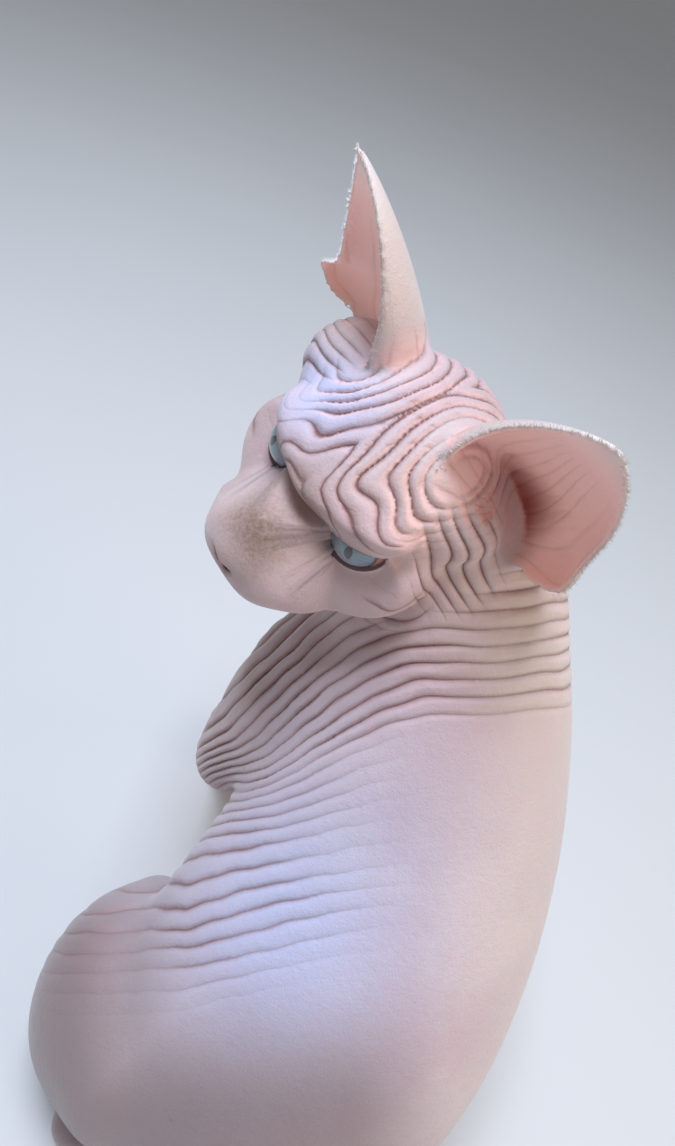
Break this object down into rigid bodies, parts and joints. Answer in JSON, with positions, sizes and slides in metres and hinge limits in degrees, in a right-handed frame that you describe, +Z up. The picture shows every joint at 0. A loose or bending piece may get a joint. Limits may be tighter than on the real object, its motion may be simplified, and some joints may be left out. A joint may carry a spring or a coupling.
{
  "type": "sphynx cat",
  "caption": "Life-size sphynx cat sitting upright and looking back over its left shoulder, with bare wrinkled pink skin, large ears and pale blue eyes",
  "frame": {"origin": "on the floor, under the middle of the cat's bounding box", "axes": "the body faces -Y, the cat's left side is +X, +Z is up; the head is turned back towards +X and +Y"},
  "size_m": [0.2148, 0.2894, 0.3556],
  "materials": {
    "skin": "bare, deeply wrinkled pink and mauve skin with a soft sheen",
    "ear_skin": "thin, translucent pink ear skin with a pale fuzzy rim",
    "eye": "wet, glossy eyeball with a pale blue iris and a small slit pupil",
    "claw": "pale translucent horn",
    "fuzz": "very short pale down on the ear rims and the bridge of the nose"
  },
  "bodies": {
    "root": {"eye_left": "eye", "eye_right": "eye", "forepaw_left_claw_1": "claw", "forepaw_left_claw_2": "claw", "forepaw_left_claw_3": "claw", "forepaw_left_claw_4": "claw", "forepaw_right_claw_1": "claw", "forepaw_right_claw_2": "claw", "forepaw_right_claw_3": "claw", "forepaw_right_claw_4": "claw", "hindpaw_left_claw_1": "claw", "hindpaw_left_claw_2": "claw", "hindpaw_left_claw_3": "claw", "hindpaw_left_claw_4": "claw", "hindpaw_right_claw_1": "claw", "hindpaw_right_claw_2": "claw", "hindpaw_right_claw_3": "claw", "hindpaw_right_claw_4": "claw", "ear_left": "ear_skin", "ear_right": "ear_skin", "muzzle": "skin", "head": "skin", "lower_jaw": "skin", "neck": "skin", "forepaw_left": "skin", "forepaw_right": "skin", "forearm_left": "skin", "forearm_right": "skin", "upper_arm_left": "skin", "upper_arm_right": "skin", "hindpaw_left": "skin", "hindpaw_right": "skin", "hindfoot_left": "skin", "hindfoot_right": "skin", "thigh_left": "skin", "thigh_right": "skin", "chest": "skin", "belly": "skin", "tail_tip": "skin", "tail_end": "skin", "tail_middle": "skin", "tail_root": "skin", "rump": "skin"}
  },
  "joints": []
}
